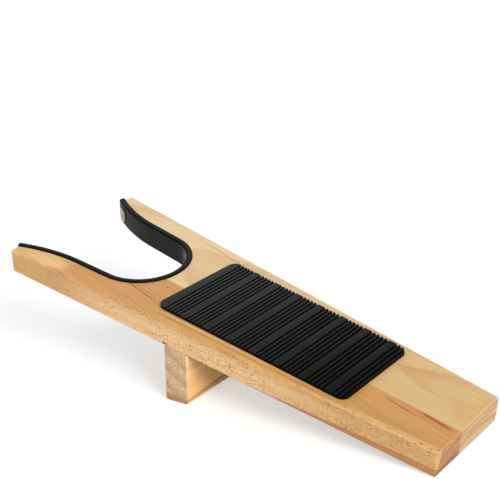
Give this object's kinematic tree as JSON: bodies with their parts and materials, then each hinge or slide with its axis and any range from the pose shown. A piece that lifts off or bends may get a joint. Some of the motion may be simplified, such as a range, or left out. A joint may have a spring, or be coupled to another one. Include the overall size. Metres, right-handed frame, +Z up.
{
  "type": "boot jack",
  "caption": "Leaning wooden boot jack: tapered plank with a lined heel notch, a ribbed tread pad and a cross block under it.",
  "frame": {"origin": "middle of the cross block's sole, on the floor", "axes": "+X along the object towards the toe that rests on the floor, +Y towards the wider board's side, +Z up"},
  "size_m": [0.3478, 0.1186, 0.0962],
  "materials": {
    "honey_wood": "satin",
    "pale_wood": "satin",
    "block_wood": "satin",
    "pad_rubber": "matte",
    "liner_rubber": "satin",
    "tack_brass": "antique",
    "screw_steel": "zinc plated"
  },
  "bodies": {
    "root": {"near_board": "honey_wood", "far_board": "pale_wood", "cross_block": "block_wood", "tread_pad": "pad_rubber", "notch_liner": "liner_rubber", "near_tack": "tack_brass", "far_tack": "tack_brass", "block_screws": "screw_steel"}
  },
  "joints": []
}
